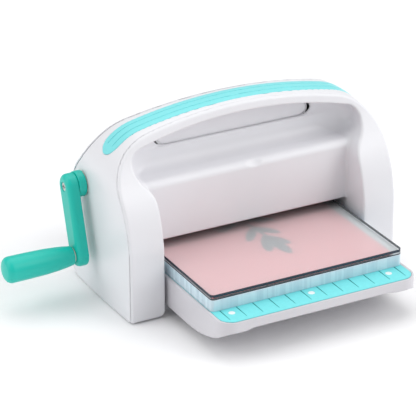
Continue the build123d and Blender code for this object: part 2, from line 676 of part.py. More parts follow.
with BuildPart() as drive_gear:
    add(spur_gear(GEAR_TEETH, MESH_ANGLE, GEAR_X, GEAR_W, UPPER_JOURNAL_R + 0.01, 0, UPPER_Z))
    with Locations((GEAR_X + GEAR_W / 2, 0, UPPER_Z + UPPER_JOURNAL_R)):
        Box(GEAR_W, KEY_W, KEY_H, mode=Mode.SUBTRACT)
    # lightening recess and five round windows in the web
    with BuildSketch(Plane(origin=(GEAR_X, 0, UPPER_Z), x_dir=(0, 1, 0), z_dir=(1, 0, 0))):
        Circle(WEB_R1)
        Circle(WEB_R0, mode=Mode.SUBTRACT)
    extrude(amount=WEB_RECESS, mode=Mode.SUBTRACT)
    with BuildSketch(Plane(origin=(GEAR_X, 0, UPPER_Z), x_dir=(0, 1, 0), z_dir=(1, 0, 0))):
        with PolarLocations(WINDOW_AT_R, WINDOWS, start_angle=18):
            Circle(WINDOW_R)
    extrude(amount=GEAR_W, mode=Mode.SUBTRACT)
write(drive_gear, "drive_gear")

with BuildPart() as gear_key:
    with Locations((GEAR_X + GEAR_W / 2, 0, UPPER_Z + UPPER_JOURNAL_R)):
        Box(GEAR_W - 0.4, KEY_W - KEY_PLAY, KEY_H - KEY_PLAY)
write(gear_key, "gear_key")

with BuildPart() as retaining_rings:
    for ring_x in (GEAR_X - 1.1, FRAME_X + FRAME_T + BUSH_FLANGE_T + 0.2):
        with BuildSketch(ALONG_X.offset(ring_x)):
            with Locations((0, UPPER_Z)):
                Circle(UPPER_JOURNAL_R + RING_WALL)
                Circle(UPPER_JOURNAL_R + 0.01, mode=Mode.SUBTRACT)
            with Locations((0, UPPER_Z - UPPER_JOURNAL_R)):
                Rectangle(RING_GAP_W, 2 * (RING_WALL + FIT), mode=Mode.SUBTRACT)
        extrude(amount=RING_T)
write(retaining_rings, "retaining_rings")

with BuildPart() as lower_roller:
    with BuildSketch(ALONG_X.offset(-LOWER_HALF_L)):
        with Locations((0, LOWER_Z)):
            Circle(LOWER_R)
    extrude(amount=2 * LOWER_HALF_L)
    chamfer(lower_roller.edges().filter_by(GeomType.CIRCLE), 0.5)
    with BuildSketch(ALONG_X.offset(-BLOCK_X - BLOCK_T)):
        with Locations((0, LOWER_Z)):
            Circle(LOWER_JOURNAL_R)
    extrude(amount=2 * (BLOCK_X + BLOCK_T))
write(lower_roller, "lower_roller")

pinion_tooth = MESH_ANGLE + 180 + 180 / PINION_TEETH

with BuildPart() as crank_pinion:
    add(spur_gear(PINION_TEETH, pinion_tooth, PINION_X, PINION_W, CRANK_SHAFT_R + 0.01, CRANK_Y, CRANK_Z))
write(crank_pinion, "crank_pinion")

# ---------------------------------------------------------------- crank

with BuildPart() as crank_shaft:
    with BuildSketch(ALONG_X.offset(-FRAME_X - 0.1)):
        with Locations((CRANK_Y, CRANK_Z)):
            Circle(CRANK_SHAFT_R)
    extrude(amount=ARM_X0 - SHAFT_END - 0.1 + FRAME_X)
    # flats that carry the arm and a threaded centre for its screw
    with Locations(*[(ARM_X0 - 2, CRANK_Y, CRANK_Z + side * CRANK_SHAFT_R) for side in (-1, 1)]):
        Box(FLAT_L, 2 * CRANK_SHAFT_R, 2 * FLAT_DEPTH, mode=Mode.SUBTRACT)
    with BuildSketch(ALONG_X.offset(ARM_X0 - 6)):
        with Locations((CRANK_Y, CRANK_Z)):
            Circle(ARM_SCREW_R)
    extrude(amount=10, mode=Mode.SUBTRACT)
write(crank_shaft, "crank_shaft")

with BuildPart() as crank_hub:
    with BuildSketch(ALONG_X.offset(ARM_X0)):
        with Locations((CRANK_Y, CRANK_Z)):
            Circle(HUB_R)
            Circle(CRANK_SHAFT_R + 0.01, mode=Mode.SUBTRACT)
    extrude(amount=HUB_X0 - ARM_X0)
    chamfer(crank_hub.faces().sort_by(Axis.X)[-1].edges().sort_by(SortBy.LENGTH)[-1], 0.6)
write(crank_hub, "crank_hub")

arm_plane = Plane(
    origin=(ARM_X0, (CRANK_Y + GRIP_Y) / 2, (CRANK_Z + GRIP_Z) / 2),
    x_dir=(0, -sin(radians(ARM_TILT)), -cos(radians(ARM_TILT))),
    z_dir=(-1, 0, 0),
)

with BuildPart() as crank_arm:
    with BuildSketch(arm_plane):
        SlotCenterToCenter(ARM_LENGTH, 2 * ARM_HALF_W)
    extrude(amount=ARM_X0 - ARM_X1)
    fillet(crank_arm.faces().sort_by(Axis.X)[0].edges(), ARM_EDGE_R)
    fillet(crank_arm.faces().sort_by(Axis.X)[-1].edges(), ARM_BACK_EDGE_R)
    # seat of the shaft, screw hole with a sunk seat, and spindle hole
    with BuildSketch(arm_plane):
        with Locations((-ARM_LENGTH / 2, 0)):
            Circle(CRANK_SHAFT_R + 0.01)
    extrude(amount=SHAFT_END + 0.2, mode=Mode.SUBTRACT)
    with BuildSketch(arm_plane):
        with Locations((-ARM_LENGTH / 2, 0)):
            Circle(ARM_SCREW_R + 0.2)
        with Locations((ARM_LENGTH / 2, 0)):
            Circle(SPINDLE_R)
    extrude(amount=ARM_X0 - ARM_X1 + 1, mode=Mode.SUBTRACT)
    with BuildSketch(arm_plane.offset(ARM_X0 - ARM_X1 - ARM_SCREW_SEAT)):
        with Locations((-ARM_LENGTH / 2, 0)):
            Circle(ARM_HEAD_R + 0.1)
    extrude(amount=3, mode=Mode.SUBTRACT)
write(crank_arm, "crank_arm")

with BuildPart() as crank_screw:
    with BuildSketch(ALONG_X.offset(ARM_X1 + ARM_SCREW_SEAT)):
        with Locations((CRANK_Y, CRANK_Z)):
            Circle(ARM_HEAD_R)
            Rectangle(CROSS_L, CROSS_W, mode=Mode.SUBTRACT)
            Rectangle(CROSS_W, CROSS_L, mode=Mode.SUBTRACT)
    extrude(amount=-1.2)
    with BuildSketch(ALONG_X.offset(ARM_X1 + ARM_SCREW_SEAT)):
        with Locations((CRANK_Y, CRANK_Z)):
            Circle(ARM_SCREW_R - FIT)
    extrude(amount=8)
write(crank_screw, "crank_screw")

grip_plane = Plane(origin=(0, GRIP_Y, GRIP_Z), x_dir=(1, 0, 0), z_dir=(0, -1, 0))
grip_axis = Axis((0, GRIP_Y, GRIP_Z), (1, 0, 0))

with BuildPart() as grip_spindle:
    with BuildSketch(grip_plane):
        head_x = SPINDLE_END_X + SPINDLE_HEAD_T
        with BuildLine():
            Polyline((ARM_X0 - 0.3, 0), (ARM_X0 - 0.3, SPINDLE_R), (head_x, SPINDLE_R),
                     (head_x, SPINDLE_HEAD_R), (SPINDLE_END_X + 0.8, SPINDLE_HEAD_R),
                     (SPINDLE_END_X, SPINDLE_HEAD_R - 0.8), (SPINDLE_END_X, 0), close=True)
        make_face()
    revolve(axis=grip_axis)
write(grip_spindle, "grip_spindle")

with BuildPart() as grip_washer:
    with BuildSketch(grip_plane):
        with Locations(((ARM_X1 + GRIP_X0) / 2, (SPINDLE_R + WASHER_R) / 2)):
            Rectangle(ARM_X1 - GRIP_X0 - 0.2, WASHER_R - SPINDLE_R)
    revolve(axis=grip_axis)
write(grip_washer, "grip_washer")

bore_r = SPINDLE_R + FIT
head_bore_r = SPINDLE_HEAD_R + FIT
head_bore_x = (SPINDLE_END_X - 0.4, SPINDLE_END_X + SPINDLE_HEAD_T + FIT)
grip_edge_x = GRIP_X1 + GRIP_DOME + GRIP_END_R

with BuildPart() as crank_grip:
    with BuildSketch(grip_plane):
        with BuildLine():
            Line((GRIP_X0, bore_r), (GRIP_X0, GRIP_R0 - GRIP_CHAMFER))
            Line((GRIP_X0, GRIP_R0 - GRIP_CHAMFER), (GRIP_X0 - GRIP_CHAMFER, GRIP_R0))
            Spline((GRIP_X0 - GRIP_CHAMFER, GRIP_R0), *GRIP_SWELL, (grip_edge_x, GRIP_R1),
                   tangents=[(-1, 0.12), (-1, 0)])
            CenterArc((grip_edge_x, GRIP_R1 - GRIP_END_R), GRIP_END_R, 90, 90)
            ThreePointArc((grip_edge_x - GRIP_END_R, GRIP_R1 - GRIP_END_R),
                          (GRIP_X1 + GRIP_DOME / 4, (GRIP_R1 - GRIP_END_R) / 2), (GRIP_X1, GRIP_FLAT_R))
            Polyline((GRIP_X1, GRIP_FLAT_R), (GRIP_X1, 0), (head_bore_x[0], 0),
                     (head_bore_x[0], head_bore_r), (head_bore_x[1], head_bore_r),
                     (head_bore_x[1], bore_r), (GRIP_X0, bore_r))
        make_face()
    revolve(axis=grip_axis)
write(crank_grip, "crank_grip")

# ---------------------------------------------------------------- platform and stack

tray_mid_y = (TRAY_FRONT_Y + TRAY_BACK_Y) / 2
tray_length = TRAY_BACK_Y - TRAY_FRONT_Y
stack_mid_y = STACK_FRONT_Y + STACK_LENGTH / 2
hem_r = (HEM_LENGTH ** 2 + HEM_RISE ** 2) / (2 * HEM_RISE)
hem_sweep = degrees(asin(HEM_LENGTH / hem_r))

with BuildPart() as platform_tray:
    with BuildSketch(Plane((0, tray_mid_y, TRAY_SKIRT_Z))):
        RectangleRounded(2 * TRAY_HALF_W, tray_length, TRAY_CORNER_R)
    extrude(amount=MAT_THICK + TRAY_TOP_Z - TRAY_SKIRT_Z)
    # hollow under the board, open to the front and back between the skirts
    with Locations((0, tray_mid_y, (TRAY_SKIRT_Z + TRAY_UNDER_Z) / 2)):
        Box(2 * (TRAY_HALF_W - TRAY_SKIRT_W), tray_length, TRAY_UNDER_Z - TRAY_SKIRT_Z,
            mode=Mode.SUBTRACT)
    # the skirts' lower edges curve up towards both ends
    with BuildSketch(ALONG_X):
        for end_y, inward in ((TRAY_FRONT_Y, 1), (TRAY_BACK_Y, -1)):
            hem_y = end_y + inward * HEM_LENGTH
            with BuildLine():
                CenterArc((hem_y, TRAY_SKIRT_Z + hem_r), hem_r, -90, -inward * hem_sweep)
                Polyline((hem_y, TRAY_SKIRT_Z), (hem_y, 0), (end_y, 0), (end_y, TRAY_SKIRT_Z + HEM_RISE))
            make_face()
    extrude(amount=FAR, both=True, mode=Mode.SUBTRACT)
    fillet(platform_tray.faces().sort_by(Axis.Z)[-1].edges(), TRAY_EDGE_R)
    # seat of the mat
    with BuildSketch(Plane((0, tray_mid_y, TRAY_TOP_Z))):
        RectangleRounded(2 * (TRAY_HALF_W - MAT_INSET + FIT), tray_length - 2 * (MAT_END_INSET - FIT),
                         TRAY_CORNER_R - MAT_INSET)
    extrude(amount=5, mode=Mode.SUBTRACT)
write(platform_tray, "platform_tray")

marks = [(x, y) for x in MARK_X for y in (TRAY_FRONT_Y + MARK_Y, TRAY_BACK_Y - MARK_Y)]
tick_x = [(i - (TICK_COUNT - 1) / 2) * TICK_PITCH for i in range(TICK_COUNT)]
tick_y = STACK_FRONT_Y - (TICK_LENGTH + TICK_W) / 2

with BuildPart() as platform_mat:
    with BuildSketch(Plane((0, tray_mid_y, TRAY_TOP_Z))):
        RectangleRounded(2 * (TRAY_HALF_W - MAT_INSET), tray_length - 2 * MAT_END_INSET,
                         TRAY_CORNER_R - MAT_INSET - FIT)
    extrude(amount=MAT_THICK)
    with BuildSketch(Plane((0, 0, TRAY_TOP_Z + MAT_THICK - MARK_DEPTH))):
        with Locations(*marks):
            Circle(MARK_R)
        with Locations(*[(x, tick_y) for x in tick_x]):
            Rectangle(TICK_W, TICK_LENGTH)
    extrude(amount=1, mode=Mode.SUBTRACT)
write(platform_mat, "platform_mat")

with BuildPart() as mat_marks:
    with BuildSketch(Plane((0, 0, TRAY_TOP_Z + MAT_THICK - MARK_DEPTH))):
        with Locations(*marks):
            Circle(MARK_R - FIT)
    extrude(amount=MARK_DEPTH - 0.05)
write(mat_marks, "mat_marks")


def stack_layer(bottom, top, shrink=0.0, edge=0.3):
    """One flat plate of the stack, rounded at its corners and broken at its edges."""
    with BuildPart() as layer:
        with BuildSketch(Plane((0, stack_mid_y, bottom))):
            RectangleRounded(2 * (STACK_HALF_W - shrink), STACK_LENGTH - 2 * shrink, STACK_CORNER_R)
        extrude(amount=top - bottom)
        if edge:
            chamfer(layer.edges().group_by(Axis.Z)[0] + layer.edges().group_by(Axis.Z)[-1], edge)
    return layer


write(stack_layer(TRAY_TOP_Z + MAT_THICK + LAYER_GAP, SPACER_TOP_Z, 0.0, 0.5), "spacer_plate")
write(stack_layer(SPACER_TOP_Z + LAYER_GAP, PAD_TOP_Z), "lower_cutting_pad")
write(stack_layer(UPPER_PAD_Z, STACK_TOP_Z), "upper_cutting_pad")

with BuildPart() as card_sheet:
    with BuildSketch(Plane((CARD_SHIFT[0], stack_mid_y + CARD_SHIFT[1], PAD_TOP_Z + LAYER_GAP))):
        Rectangle(*CARD)
    extrude(amount=CARD_TOP_Z - PAD_TOP_Z - LAYER_GAP)
write(card_sheet, "card_sheet")

# generic leafy sprig: a stem with pairs of leaves and one at its tip
STEM_W = 2.0
STEM = [(1.0, 10.0), (1.5, -12.0), (4.0, -34.0), (5.0, -50.0)]
LEAF_SLIMNESS = 0.16      # half width of a leaf for each unit of its length
# where each leaf grows from, its length and its heading
LEAVES = [(1.5, -8.0, 26, -150), (1.5, -8.0, 24, -32), (3.0, -26.0, 22, -128), (3.0, -26.0, 20, -50),
          (4.5, -40.0, 26, -112), (4.5, -42.0, 20, -62), (5.0, -48.0, 25, -86)]

with BuildPart() as cutting_die:
    with BuildSketch(Plane.XY.offset(CARD_TOP_Z + LAYER_GAP)):
        with BuildLine():
            Spline(*STEM)
        trace(line_width=STEM_W)
        for root_x, root_y, length, heading in LEAVES:
            half = length / 2
            middle_x = root_x + half * cos(radians(heading))
            middle_y = root_y + half * sin(radians(heading))
            with Locations(Location((middle_x, middle_y, 0), (0, 0, heading))):
                Ellipse(half, length * LEAF_SLIMNESS)
    extrude(amount=DIE_TOP_Z - CARD_TOP_Z - LAYER_GAP)
write(cutting_die, "cutting_die")
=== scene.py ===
"""Looks of the tabletop die cutting machine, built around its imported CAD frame.

The shell, crank, platform and cutting plates are meshed from distance fields in millimetres, so that
every edge is rounded and every hollow blends the way moulded parts do. Fields are negative inside.
"""

import json
import math

import bmesh
import bpy
import numpy as np
from mathutils import Matrix, Vector


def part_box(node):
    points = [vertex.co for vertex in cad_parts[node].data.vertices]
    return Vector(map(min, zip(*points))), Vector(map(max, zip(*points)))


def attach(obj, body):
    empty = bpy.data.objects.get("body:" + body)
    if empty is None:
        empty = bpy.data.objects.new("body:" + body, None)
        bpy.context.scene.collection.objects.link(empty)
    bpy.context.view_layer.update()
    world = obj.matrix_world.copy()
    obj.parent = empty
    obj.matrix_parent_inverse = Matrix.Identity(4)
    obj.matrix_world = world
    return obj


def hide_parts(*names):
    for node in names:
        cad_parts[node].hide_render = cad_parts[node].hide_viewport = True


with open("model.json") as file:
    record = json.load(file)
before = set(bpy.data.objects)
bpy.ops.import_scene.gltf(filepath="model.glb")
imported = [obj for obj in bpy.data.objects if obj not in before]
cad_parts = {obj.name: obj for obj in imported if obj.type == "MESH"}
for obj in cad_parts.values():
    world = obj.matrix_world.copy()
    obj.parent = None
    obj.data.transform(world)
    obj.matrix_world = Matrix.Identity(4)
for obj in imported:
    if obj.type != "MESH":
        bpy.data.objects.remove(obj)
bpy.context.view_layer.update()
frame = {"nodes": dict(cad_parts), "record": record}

MM = 0.001


def node_box(name):
    """Lowest and highest corner of a CAD node, in millimetres."""
    low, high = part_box(name)
    return [c / MM for c in low], [c / MM for c in high]


# ---------------------------------------------------------------- driving dimensions, millimetres

# casing, in front view
BAND_LOW, BAND_HIGH = node_box("centre_band")
BAND_HALF_W, BAND_TOP = BAND_HIGH[0], BAND_HIGH[2]
BAND_CORNER_R, BAND_CROWN_R, BAND_WALL = 39.6, 341.0, 2.6
BAND_BULGE = 1.2          # the band swells this far beyond its edges
COVER_STEP, COVER_WALL = 1.2, 2.4
FOOT_Z = BAND_LOW[2]
BAY_HALF_W, BAY_FLARE_HALF_W, FLARE_START_Z = 79.6, 90.4, 81.0
BAY_TOP, BAY_CORNER_R, BAY_CROWN_R = 127.2, 10.5, 330.0
HOLE_HALF_W, HOLE_TOP, HOLE_CORNER_R = 62.0, 121.5, 9.0
POCKET_DEPTH, POCKET_LAND = 16.0, 1.3      # the last stretch, by the centre plane, is straight

# casing, in side view: half depth against height
SIDE_Z = [50.0, 62.0, 74.0, 86.0, 98.0, 110.0, 122.0, 136.0]
SIDE_HALF_DEPTH = [50.0, 48.4, 45.2, 39.5, 30.6, 23.6, 19.0, 14.8]
EDGE_GAP = 2.8            # the band starts this far behind the cover's face
FRONT_FOOT_R, REAR_FOOT_R, TOWER_FOOT_R = 3.0, 11.0, 5.5
RIM_R, MOUTH_R, BAND_EDGE_R = 1.7, 1.5, 0.9

# roller housing between the towers
PANEL_Y, PANEL_BOTTOM_Z = 25.8, 47.0
LEDGE_Z, LEDGE_EDGE_R, COVE_R = 92.0, 5.5, 10.0
RIDGE_HALF_T, RIDGE_Z, RIDGE_R = 2.6, 107.0, 1.6
DIMPLE_X, DIMPLE_R, DIMPLE_DEPTH = 4.0, 5.0, 0.9
SEAM = 0.15               # each cover stops this far from the centre plane
WEB_GRIP = 0.8            # the web behind the opening reaches this far into the walls round it

# inlay of the handle
INLAY_HALF_W, INLAY_T = 8.8, 1.45
INLAY_END_Z = node_box("handle_inlay")[0][2] + INLAY_HALF_W
GROOVE_Y, GROOVE_HALF_W, GROOVE_DEPTH = 3.3, 0.5, 0.6

# bed plate, which the covers clear
BED_HIGH = node_box("bed_plate")[1]
BED_GAP = 0.4

# crank
SHAFT_LOW, SHAFT_HIGH = node_box("crank_shaft")
CRANK_Y = (SHAFT_LOW[1] + SHAFT_HIGH[1]) / 2
CRANK_Z = (SHAFT_LOW[2] + SHAFT_HIGH[2]) / 2
GRIP_LOW, GRIP_HIGH = node_box("crank_grip")
GRIP_Y = (GRIP_LOW[1] + GRIP_HIGH[1]) / 2
GRIP_Z = (GRIP_LOW[2] + GRIP_HIGH[2]) / 2
ARM_LOW, ARM_HIGH = node_box("crank_arm")
ARM_HALF_W, ARM_EDGE_R = 8.8, 3.8
HUB_R = 9.4
BUSH_HOLE_R = 8.0
ARM_SEAT_R, ARM_SEAT_DEPTH = 3.15, 1.8

# platform
TRAY_LOW, TRAY_HIGH = node_box("platform_tray")
TRAY_HALF_W = TRAY_HIGH[0]
TRAY_UNDER_Z, TRAY_CORNER_R, MAT_INSET = 22.6, 12.0, 2.55
SKIRT_W = 3.0
HEM_LENGTH, HEM_RISE = 49.4, 13.5      # how the skirts' lower edges curve up towards the ends
LIP_DROP, LIP_DROP_X = 1.2, 52.0       # the lip at each end is this much deeper near the corners
MAT_LOW, MAT_HIGH = node_box("platform_mat")
MAT_GAP = 0.05

# ---------------------------------------------------------------- distance fields


def round_max(a, b, r):
    """Intersection of two solids with its edge rounded to radius r."""
    return np.minimum(np.maximum(a, b), -r) + np.hypot(np.maximum(a + r, 0), np.maximum(b + r, 0))


def round_min(a, b, r):
    """Union of two solids with a fillet of radius r between them."""
    return -round_max(-a, -b, r)


def smooth_step(t):
    t = np.clip(t, 0, 1)
    return t * t * (3 - 2 * t)


def arch(x, z, half_w, top, corner_r, crown_r, sides=None):
    """Distance to an arch of two sides, two shoulder arcs and a flat crown arc."""
    x = np.abs(x)
    corner_x = half_w - corner_r
    lean = np.arcsin(corner_x / (crown_r - corner_r))
    corner_z = top - crown_r + (crown_r - corner_r) * np.cos(lean)
    side = x - half_w if sides is None else sides(x, z, corner_z)
    shoulder = np.hypot(x - corner_x, z - corner_z) - corner_r
    crown = np.hypot(x, z - (top - crown_r)) - crown_r
    past_crown = np.arctan2(x, z - (top - crown_r)) > lean
    return np.where(z < corner_z, np.maximum(side, crown), np.where(past_crown, shoulder, crown))


def bay(x, z, narrow):
    """Distance to the opening between the towers; narrow is 0 at its mouth and 1 on the centre plane."""
    foot_w = BAY_HALF_W + narrow * (HOLE_HALF_W - 1 - BAY_HALF_W)
    flare_w = BAY_FLARE_HALF_W + narrow * (HOLE_HALF_W - BAY_FLARE_HALF_W)
    top = BAY_TOP + narrow * (HOLE_TOP - BAY_TOP)
    corner_r = BAY_CORNER_R + narrow * (HOLE_CORNER_R - BAY_CORNER_R)

    def flared(x, z, corner_z):
        """Straight foot, then an S of two arcs out to the flare."""
        rise, run = corner_z - FLARE_START_Z, flare_w - foot_w
        bend = 2 * np.arctan(run / rise)
        bend_r = rise / (2 * np.sin(bend))
        up = np.clip(z - FLARE_START_Z, 0, rise)
        near = np.minimum(up, rise - up)
        offset = bend_r - np.sqrt(bend_r ** 2 - near ** 2)
        half = foot_w + np.where(up < rise / 2, offset, run - offset)
        return (x - half) * np.sqrt(bend_r ** 2 - near ** 2) / bend_r

    return arch(x, z, flare_w, top, corner_r, BAY_CROWN_R, flared)


side_slope = np.gradient(SIDE_HALF_DEPTH, SIDE_Z)
side_slope[0] = 0.0


def half_depth(z):
    """Half depth of the casing at this height, by cubic pieces through the side view's points."""
    i = np.clip(np.searchsorted(SIDE_Z, z) - 1, 0, len(SIDE_Z) - 2)
    z0, z1 = np.take(SIDE_Z, i), np.take(SIDE_Z, i + 1)
    y0, y1 = np.take(SIDE_HALF_DEPTH, i), np.take(SIDE_HALF_DEPTH, i + 1)
    m0, m1 = np.take(side_slope, i) * (z1 - z0), np.take(side_slope, i + 1) * (z1 - z0)
    t = np.clip((z - z0) / (z1 - z0), 0, 1)
    return ((2 * t ** 3 - 3 * t ** 2 + 1) * y0 + (t ** 3 - 2 * t ** 2 + t) * m0
            + (3 * t ** 2 - 2 * t ** 3) * y1 + (t ** 3 - t ** 2) * m1)


def side_view(y, z):
    """Distance to the casing's side view."""
    step = 0.5
    slope = (half_depth(z + step) - half_depth(z - step)) / (2 * step)
    return (np.abs(y) - half_depth(z)) / np.sqrt(1 + slope ** 2)


def with_foot(side, y, z):
    """The side view cut off at the foot, its lower corners rounded, the rear one more."""
    return round_max(side, FOOT_Z - z, np.where(y > 0, REAR_FOOT_R, FRONT_FOOT_R))


def housing(y, z):
    """Distance to the roller housing: panel, ledge, cove and ridge, without its underside."""
    block = round_max(np.abs(y) - PANEL_Y, z - LEDGE_Z, LEDGE_EDGE_R)
    ridge = round_max(np.abs(y) - RIDGE_HALF_T, z - RIDGE_Z, RIDGE_R)
    return round_min(block, ridge, COVE_R)


def narrowing(y):
    """How far the pocket has closed in at this depth: 0 at its mouth, 1 on the centre plane."""
    depth = np.clip(1 - (np.abs(y) - POCKET_LAND) / (POCKET_DEPTH - POCKET_LAND), 0, 1)
    return 1 - np.sqrt(np.clip(1 - depth ** 2, 0, 1))


def cover(x, y, z):
    """Distance to a front or rear cover before it is split on the centre plane."""
    side = side_view(y, z)
    outline = arch(x, z, BAND_HALF_W - COVER_STEP, BAND_TOP - COVER_STEP, BAND_CORNER_R - COVER_STEP,
                   BAND_CROWN_R - COVER_STEP)
    opening = bay(x, z, narrowing(y))
    tunnel = np.maximum(np.abs(x) - BAY_HALF_W, z - PANEL_BOTTOM_Z)
    opening = np.where(z < FLARE_START_Z, np.minimum(opening, tunnel), opening)
    house = housing(y, z)
    blend_r = 2.0 + 8.0 * smooth_step((z - LEDGE_Z + 3) / 12)
    inner = round_min(-opening, round_max(house, PANEL_BOTTOM_Z - z, 1.5), blend_r)
    towers = round_max(inner, FOOT_Z - z, TOWER_FOOT_R)
    solid = round_max(round_max(outline, with_foot(side, y, z), RIM_R), towers, MOUTH_R)
    # the wall keeps its thickness where the pocket closes in steeply
    skin = bay(x, z, narrowing(np.abs(y) + COVER_WALL))
    skin = np.where(z < FLARE_START_Z, np.minimum(skin, tunnel), skin)
    cavity = np.maximum(with_foot(side, y, z) + COVER_WALL, np.minimum(
        COVER_WALL - skin, np.maximum(house + COVER_WALL, PANEL_BOTTOM_Z - z)))
    shell = np.maximum(solid, -cavity)
    notch = np.maximum(np.maximum(np.abs(x) - BED_HIGH[0], np.abs(y) - BED_HIGH[1]), z - BED_HIGH[2])
    return np.maximum(shell, BED_GAP - notch)


def front_cover(x, y, z):
    """Front cover with a shallow finger dimple on the ledge."""
    sphere_r = (DIMPLE_R ** 2 + DIMPLE_DEPTH ** 2) / (2 * DIMPLE_DEPTH)
    reach = (sphere_r - DIMPLE_DEPTH + LEDGE_EDGE_R) * math.sqrt(0.5)
    centre_y, centre_z = -PANEL_Y + LEDGE_EDGE_R - reach, LEDGE_Z - LEDGE_EDGE_R + reach
    dimple = np.sqrt((x - DIMPLE_X) ** 2 + (y - centre_y) ** 2 + (z - centre_z) ** 2) - sphere_r
    return round_max(np.maximum(cover(x, y, z), y + SEAM), -dimple, 0.8)


SCREW_SEATS = [(94.5, 22.0, 38.0), (96.5, 100.0, 20.0)]   # across, height, depth of the seat
BOSS_R, SEAT_R, BOSS_REACH, BOSS_INSET = 4.6, 3.1, 8.0, 0.6


def rear_cover(x, y, z):
    """Rear cover with the web that closes the opening, four screw bosses and sunk seats."""
    web = np.maximum(bay(x, z, 1.0) - COVER_WALL - WEB_GRIP, RIDGE_Z - WEB_GRIP - z)
    web = np.maximum(web, y - SEAM - COVER_WALL)
    shape = np.maximum(round_min(cover(x, y, z), web, 1.5), SEAM - y)
    for across, height, seat in SCREW_SEATS:
        radial = np.hypot(np.abs(x) - across, z - height)
        boss = np.maximum(np.maximum(radial - BOSS_R, y - seat - BOSS_REACH), SEAM - y)
        inside = side_view(y, z) + BOSS_INSET
        shape = np.minimum(shape, np.maximum(boss, inside))
        shape = round_max(shape, -np.maximum(radial - SEAT_R, seat - y), 0.5)
    return shape


def band_surface(x, y, z):
    """Outer surface of the band, swollen between its two edges."""
    swell = BAND_BULGE * np.clip(np.abs(y) / (half_depth(z) - EDGE_GAP), 0, 1.2) ** 2
    return arch(x, z, BAND_HALF_W, BAND_TOP, BAND_CORNER_R, BAND_CROWN_R) + swell


def inlay_slot(y, z):
    """Side view of the inlay: a strip over the crown with half-round lower ends."""
    return np.where(z > INLAY_END_Z, np.abs(y) - INLAY_HALF_W, np.hypot(y, z - INLAY_END_Z) - INLAY_HALF_W)


def band(x, y, z):
    """Centre band with its channel for the inlay and its hole for the crank bush."""
    flat = arch(x, z, BAND_HALF_W, BAND_TOP, BAND_CORNER_R, BAND_CROWN_R)
    outer = band_surface(x, y, z)
    body = round_max(outer, with_foot(side_view(y, z) + EDGE_GAP, y, z), BAND_EDGE_R)
    body = np.maximum(body, -(flat + BAND_WALL))
    channel = np.maximum(inlay_slot(y, z), -(outer + INLAY_T + 0.05))
    body = round_max(body, -channel, 0.3)
    hole = np.maximum(np.hypot(y - CRANK_Y, z - CRANK_Z) - BUSH_HOLE_R, x)
    return round_max(body, -hole, 0.4)


def inlay(x, y, z):
    """Handle inlay, flush with the band, with two long grooves."""
    outer = band_surface(x, y, z)
    body = round_max(outer + 0.02, inlay_slot(y, z) + 0.1, 0.4)
    body = np.maximum(body, -(outer + INLAY_T))
    along = np.abs(np.abs(y) - GROOVE_Y) - GROOVE_HALF_W
    groove = np.maximum(np.maximum(along, -(outer + GROOVE_DEPTH)), INLAY_END_Z - 3 - z)
    return round_max(body, -groove, 0.25)


def arm(x, y, z):
    """Crank arm: a long slot shape, soft on its outer face, with a sunk seat for its screw."""
    along = np.array([GRIP_Y - CRANK_Y, GRIP_Z - CRANK_Z])
    t = ((y - CRANK_Y) * along[0] + (z - CRANK_Z) * along[1]) / (along @ along)
    t = np.clip(t, 0, 1)
    capsule = np.hypot(y - CRANK_Y - t * along[0], z - CRANK_Z - t * along[1]) - ARM_HALF_W
    body = round_max(capsule, ARM_LOW[0] - x, ARM_EDGE_R)
    body = round_max(body, x - ARM_HIGH[0], 1.2)
    seat = np.maximum(np.hypot(y - CRANK_Y, z - CRANK_Z) - ARM_SEAT_R, x - ARM_LOW[0] - ARM_SEAT_DEPTH)
    return round_max(body, -seat, 0.5)


def hub(x, y, z):
    """Round hub between the arm and the casing."""
    low, high = node_box("crank_hub")
    radial = np.hypot(y - CRANK_Y, z - CRANK_Z) - HUB_R
    return round_max(round_max(radial, low[0] - x, 0.6), x - high[0], 0.9)


GRIP_X = [-175.0, -172.0, -157.0, -144.0, -135.0, -129.0, -123.0]
GRIP_RADIUS = [9.5, 9.5, 9.4, 9.05, 8.4, 7.75, 6.75]
GRIP_DOME_R, GRIP_END_R = 34.0, 3.4


def grip(x, y, z):
    """Turning grip: barrel shaped, its outer end domed."""
    rho = np.hypot(y - GRIP_Y, z - GRIP_Z)
    wall = rho - np.interp(x, GRIP_X, GRIP_RADIUS)
    dome = np.hypot(x - GRIP_LOW[0] - GRIP_DOME_R, rho) - GRIP_DOME_R
    body = round_max(wall, dome, GRIP_END_R)
    return round_max(body, x - GRIP_HIGH[0], 1.0)


def rounded_plan(x, y, half_w, front_y, back_y, corner_r):
    """Distance to a rounded rectangle in plan."""
    a = np.abs(x) - half_w + corner_r
    b = np.abs(y - (front_y + back_y) / 2) - (back_y - front_y) / 2 + corner_r
    return np.hypot(np.maximum(a, 0), np.maximum(b, 0)) + np.minimum(np.maximum(a, b), 0) - corner_r


